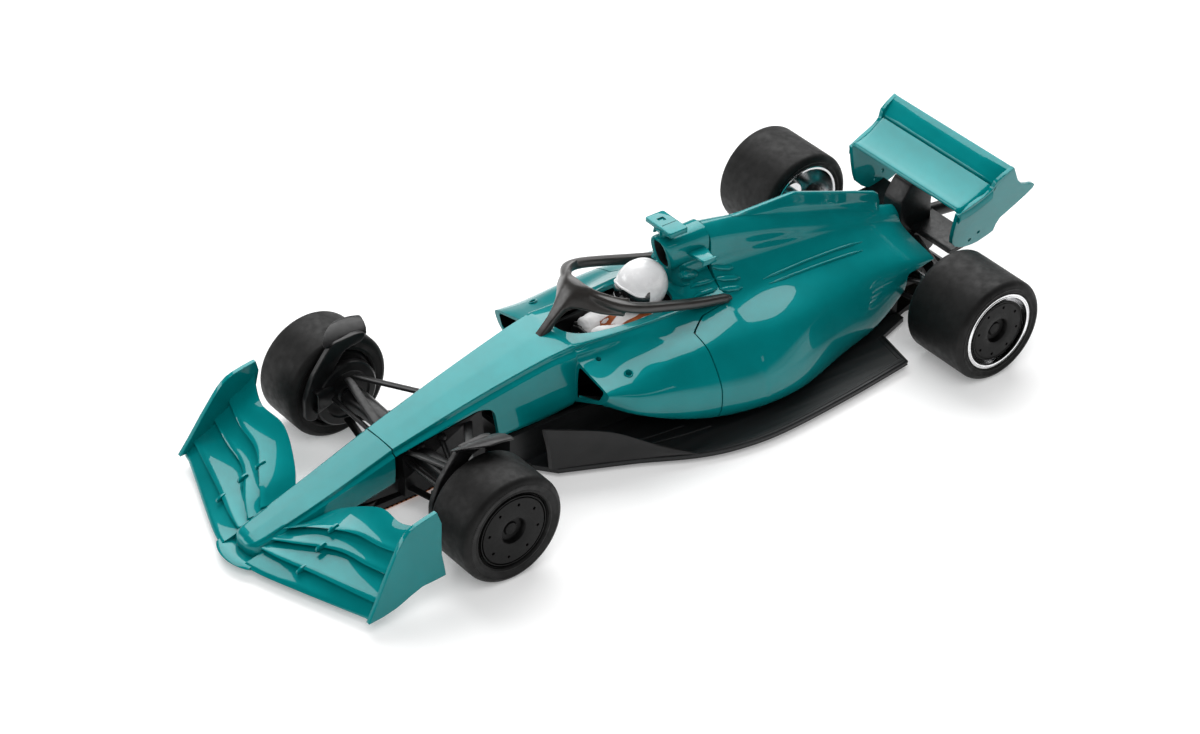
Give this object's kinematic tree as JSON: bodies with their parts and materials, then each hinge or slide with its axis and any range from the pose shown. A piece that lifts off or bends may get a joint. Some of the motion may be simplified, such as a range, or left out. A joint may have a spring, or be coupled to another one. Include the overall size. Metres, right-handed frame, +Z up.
{
  "type": "open-wheel slot racing car model",
  "caption": "Small-scale open-wheel slot racing car with winged nose, halo, helmeted driver, sidepods, engine cover fin, rear wing, turning wheels and a swinging slot guide.",
  "frame": {"origin": "centre of the overall length and width, on the ground under the tyres", "axes": "+X forward to the nose, +Y to the driver's left, +Z up"},
  "size_m": [0.1776, 0.071, 0.0362],
  "materials": {
    "body_paint": "gloss",
    "satin_black": "satin",
    "dark_plastic": "satin",
    "suit_white": "matte",
    "helmet_white": "gloss",
    "visor_black": "gloss",
    "belt_tan": "matte",
    "steel": "satin",
    "motor_can": "satin",
    "gear_nylon": "matte",
    "bright_rim": "polished",
    "wheel_black": "satin",
    "tyre_rubber": "matte",
    "copper_braid": "satin"
  },
  "bodies": {
    "chassis": {"nose_cone": "body_paint", "front_wing": "body_paint", "front_wing_endplates": "body_paint", "front_body": "body_paint", "airbox": "body_paint", "camera_pod": "body_paint", "engine_cover": "body_paint", "halo": "satin_black", "cockpit_tray": "dark_plastic", "driver_suit": "suit_white", "driver_helmet": "helmet_white", "helmet_visor": "visor_black", "seat_belts": "belt_tan", "driver_gloves": "dark_plastic", "steering_wheel": "dark_plastic", "chassis_pan": "dark_plastic", "floor_fences": "dark_plastic", "diffuser": "dark_plastic", "front_bulkhead": "dark_plastic", "front_axle": "steel", "front_arms_left": "dark_plastic", "front_arms_right": "dark_plastic", "front_upright_left": "dark_plastic", "front_upright_right": "dark_plastic", "motor": "motor_can", "motor_pod": "dark_plastic", "rear_arms_left": "dark_plastic", "rear_arms_right": "dark_plastic", "rear_wing": "body_paint", "rear_wing_endplates": "body_paint", "rear_pylon": "dark_plastic"},
    "front_wheel_left": {"front_tyre_left": "tyre_rubber", "front_rim_left": "wheel_black"},
    "front_wheel_right": {"front_tyre_right": "tyre_rubber", "front_rim_right": "wheel_black"},
    "rear_wheels": {"rear_axle": "steel", "crown_gear": "gear_nylon", "rear_rims": "bright_rim", "rear_covers": "wheel_black", "rear_tyre_left": "tyre_rubber", "rear_tyre_right": "tyre_rubber"},
    "guide": {"guide_flag": "dark_plastic", "guide_braids": "copper_braid"}
  },
  "joints": [
    {"name": "front_left_spin", "type": "hinge", "parent": "chassis", "child": "front_wheel_left", "pos_m": [0.0495, 0.0265, 0.0106], "axis": [0, 1, 0], "continuous": true},
    {"name": "front_right_spin", "type": "hinge", "parent": "chassis", "child": "front_wheel_right", "pos_m": [0.0495, -0.0265, 0.0106], "axis": [0, 1, 0], "continuous": true},
    {"name": "rear_spin", "type": "hinge", "parent": "chassis", "child": "rear_wheels", "pos_m": [-0.0625, 0, 0.0105], "axis": [0, 1, 0], "continuous": true},
    {"name": "guide_swing", "type": "hinge", "parent": "chassis", "child": "guide", "pos_m": [0.0595, 0, 0.004], "axis": [0, 0, 1], "range_deg": [-30, 30]}
  ]
}
